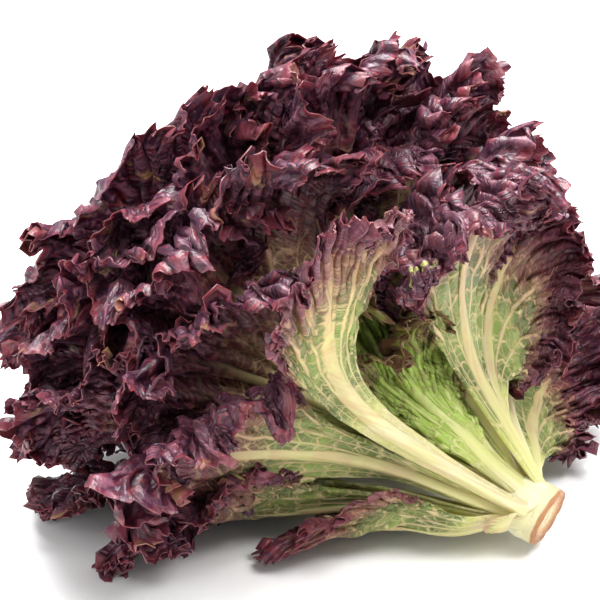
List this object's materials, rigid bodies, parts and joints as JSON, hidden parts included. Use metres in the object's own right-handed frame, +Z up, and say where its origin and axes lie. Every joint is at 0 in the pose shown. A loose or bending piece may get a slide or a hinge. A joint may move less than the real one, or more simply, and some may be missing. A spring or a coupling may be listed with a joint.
{
  "type": "red leaf lettuce",
  "caption": "Cut head of frilly red leaf lettuce lying on its side: ruffled burgundy leaves on pale stalks fan out from a short cut stem.",
  "frame": {"origin": "on the table under the middle of the head's box", "axes": "+Z up from the table, -Y towards the open front of the head, +X towards the side that the cut stem points to"},
  "size_m": [0.301, 0.3063, 0.2213],
  "materials": {
    "outer_leaf": "thin waxy blade, burgundy at the frilly margin and green with cream veins towards the stalk",
    "middle_leaf": "thin waxy blade, dark burgundy at the frilly margin",
    "heart_leaf": "thin waxy blade, dark burgundy frills",
    "young_leaf": "tender lime green blade with browned tips",
    "torn_leaf": "pale moist leaf stub with a frayed edge",
    "stem": "moist pale stem with a browned, fibrous cut"
  },
  "bodies": {
    "root": {"stem": "stem", "outer_leaf_01": "outer_leaf", "outer_leaf_02": "outer_leaf", "outer_leaf_03": "outer_leaf", "outer_leaf_04": "outer_leaf", "outer_leaf_05": "outer_leaf", "outer_leaf_06": "outer_leaf", "outer_leaf_07": "outer_leaf", "outer_leaf_08": "outer_leaf", "outer_leaf_09": "young_leaf", "outer_leaf_10": "outer_leaf", "outer_leaf_11": "outer_leaf", "outer_leaf_12": "outer_leaf", "outer_leaf_13": "outer_leaf", "middle_leaf_01": "middle_leaf", "middle_leaf_02": "middle_leaf", "middle_leaf_03": "middle_leaf", "middle_leaf_04": "young_leaf", "middle_leaf_05": "middle_leaf", "middle_leaf_06": "middle_leaf", "middle_leaf_07": "middle_leaf", "middle_leaf_08": "middle_leaf", "middle_leaf_09": "middle_leaf", "middle_leaf_10": "middle_leaf", "middle_leaf_11": "middle_leaf", "middle_leaf_12": "middle_leaf", "middle_leaf_13": "middle_leaf", "heart_leaf_01": "heart_leaf", "heart_leaf_02": "heart_leaf", "heart_leaf_03": "heart_leaf", "heart_leaf_04": "heart_leaf", "heart_leaf_05": "heart_leaf", "heart_leaf_06": "heart_leaf", "heart_leaf_07": "heart_leaf", "heart_leaf_08": "heart_leaf", "heart_leaf_09": "heart_leaf", "heart_leaf_10": "heart_leaf", "torn_leaf_base": "torn_leaf"}
  },
  "joints": []
}
